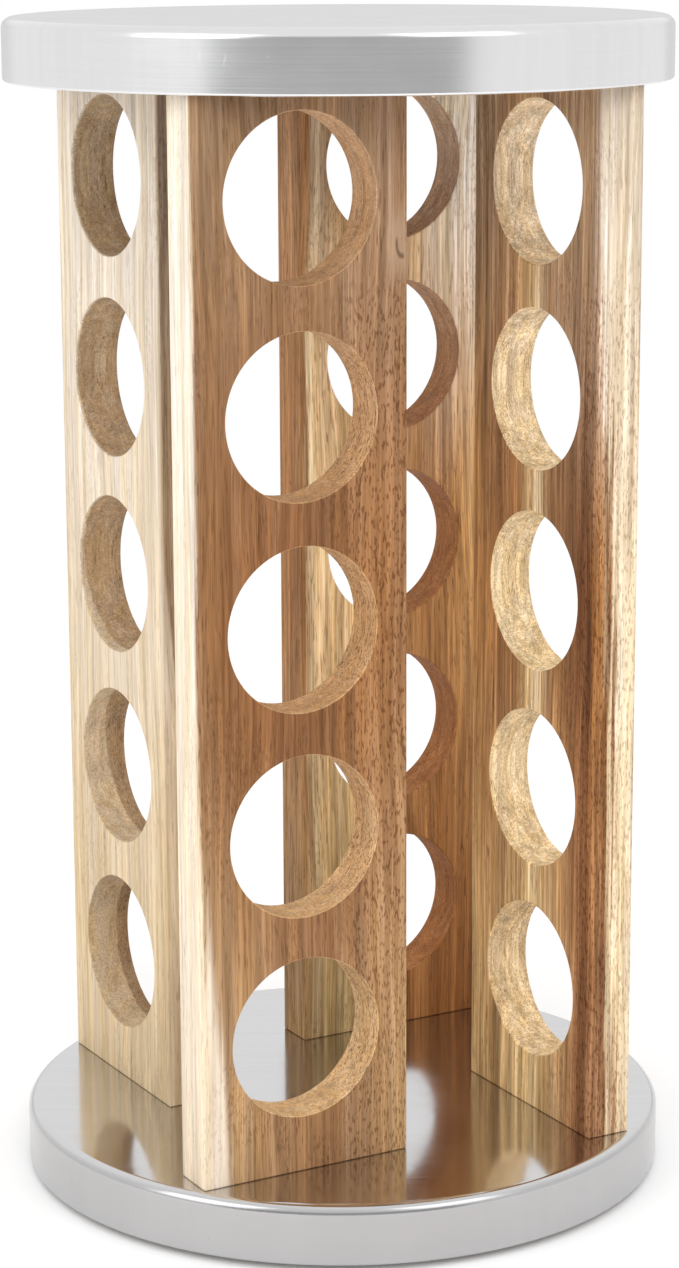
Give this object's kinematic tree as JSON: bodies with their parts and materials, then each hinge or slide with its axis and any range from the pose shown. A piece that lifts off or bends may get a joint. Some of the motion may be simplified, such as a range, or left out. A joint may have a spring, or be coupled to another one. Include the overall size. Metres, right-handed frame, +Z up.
{
  "type": "spice carousel",
  "caption": "Upright turning spice tower: wooden panels with round jar holes in a pinwheel between two brushed steel discs, on a ball-bearing foot.",
  "frame": {"origin": "on the table, at the centre of the foot; the spin axis is Z", "axes": "+Z up along the spin axis; -Y is the outward side of the front panel, +X the outward side of the right panel"},
  "size_m": [0.19, 0.19, 0.3397],
  "materials": {
    "brushed_steel": "brushed stainless sheet",
    "panel_wood": "oiled hardwood with a vertical grain",
    "core_board": "bare fibreboard",
    "zinc_screws": "zinc plated",
    "ring_metal": "turned, satin",
    "ball_steel": "polished",
    "cage_plastic": "moulded nylon",
    "foot_paint": "fine satin powder coat",
    "pad_rubber": "matt rubber"
  },
  "bodies": {
    "foot": {"foot_plate": "foot_paint", "foot_plate_screws": "zinc_screws", "bearing_inner_ring": "ring_metal", "foot_pad_1": "pad_rubber", "foot_pad_2": "pad_rubber", "foot_pad_3": "pad_rubber", "foot_pad_4": "pad_rubber", "foot_pad_5": "pad_rubber", "foot_pad_6": "pad_rubber"},
    "ball_ring": {"bearing_cage": "cage_plastic", "bearing_balls": "ball_steel"},
    "carousel": {"base_pan": "brushed_steel", "base_board": "core_board", "bearing_outer_ring": "ring_metal", "bearing_ring_screws": "zinc_screws", "panel_foot_screws": "zinc_screws", "jar_panel_front": "panel_wood", "jar_panel_right": "panel_wood", "jar_panel_back": "panel_wood", "jar_panel_left": "panel_wood", "panel_top_screws": "zinc_screws", "cap_board": "core_board", "cap_pan": "brushed_steel"}
  },
  "joints": [
    {"name": "carousel_spin", "type": "hinge", "parent": "foot", "child": "carousel", "pos_m": [0, 0, 0.0091], "axis": [0, 0, 1], "continuous": true},
    {"name": "ball_ring_roll", "type": "hinge", "parent": "foot", "child": "ball_ring", "pos_m": [0, 0, 0.0091], "axis": [0, 0, 1], "continuous": true}
  ],
  "couplings": [
    {"joint": "ball_ring_roll", "follows": "carousel_spin", "ratio": 0.5}
  ]
}
